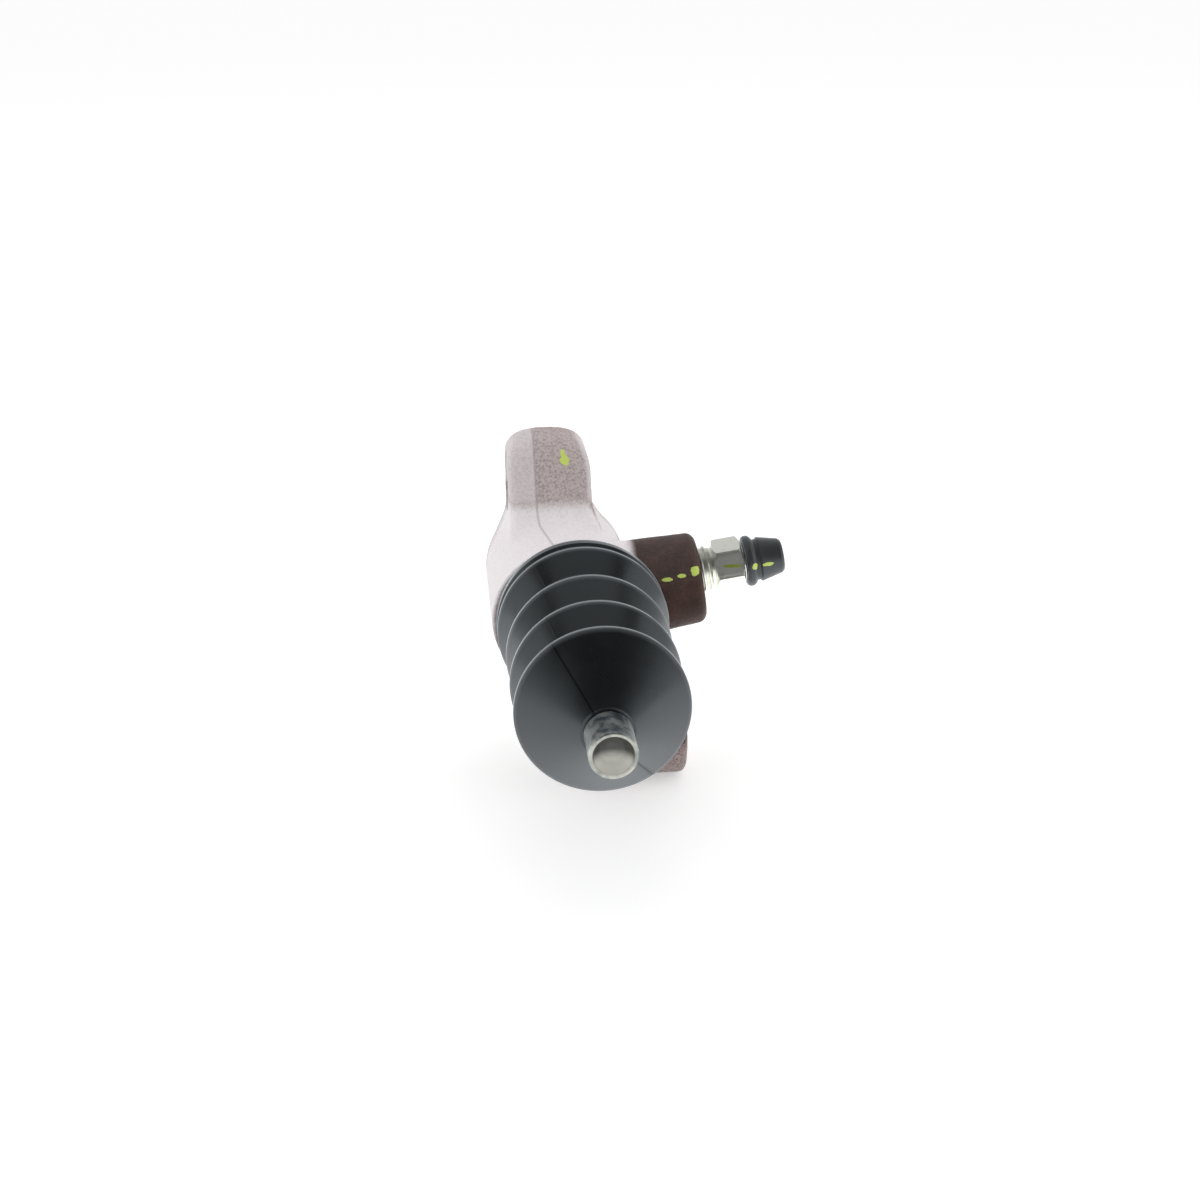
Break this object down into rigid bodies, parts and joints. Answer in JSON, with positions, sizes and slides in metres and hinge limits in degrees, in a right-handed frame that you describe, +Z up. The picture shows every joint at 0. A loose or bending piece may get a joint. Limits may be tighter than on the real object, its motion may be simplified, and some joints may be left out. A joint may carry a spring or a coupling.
{
  "type": "clutch slave cylinder",
  "caption": "Hydraulic clutch slave cylinder: cast iron housing with two bolt ears, bleed screw, fluid port, rubber bellows boot and a cupped pushrod.",
  "frame": {"origin": "midpoint between the two mounting holes, in the casting's middle plane; the cylinder axis lies 5.2 mm above it", "axes": "+Y along the cylinder axis towards the fluid port, the pushrod points to -Y; +Z up towards the upper ear; +X towards the bleed screw"},
  "size_m": [0.0635, 0.112, 0.073],
  "materials": {
    "cast_housing": "rough sand casting under a thin reddish-brown satin coat",
    "screw_zinc": "zinc plated, faintly yellow",
    "cap_rubber": "matt moulded rubber",
    "piston_aluminium": "turned",
    "seal_rubber": "smooth black rubber",
    "spring_steel": "drawn wire",
    "rod_zinc": "dull zinc plating, mottled grey",
    "boot_rubber": "satin moulded rubber with fine crest highlights"
  },
  "bodies": {
    "housing_body": {"housing": "cast_housing", "return_spring": "spring_steel", "boot": "boot_rubber"},
    "piston_body": {"piston": "piston_aluminium", "pressure_cup": "seal_rubber", "dust_cup": "seal_rubber", "pushrod": "rod_zinc"},
    "bleed_screw_body": {"bleed_screw": "screw_zinc"},
    "bleed_cap_body": {"bleed_cap": "cap_rubber"}
  },
  "joints": [
    {"name": "piston_slide", "type": "slide", "parent": "housing_body", "child": "piston_body", "axis": [0, 1, 0], "range_m": [0, 0.015], "stiffness_N_per_m": 400, "springref_m": -0.02, "deforming": ["return_spring", "boot"]},
    {"name": "bleed_screw_turn", "type": "hinge", "parent": "housing_body", "child": "bleed_screw_body", "pos_m": [-0.00019, -0.0088, 0.00659], "axis": [0.9903, 0, 0.1392], "range_deg": [0, 360]},
    {"name": "bleed_cap_pull", "type": "slide", "parent": "bleed_screw_body", "child": "bleed_cap_body", "axis": [0.9903, 0, 0.1392], "range_m": [0, 0.015]}
  ]
}
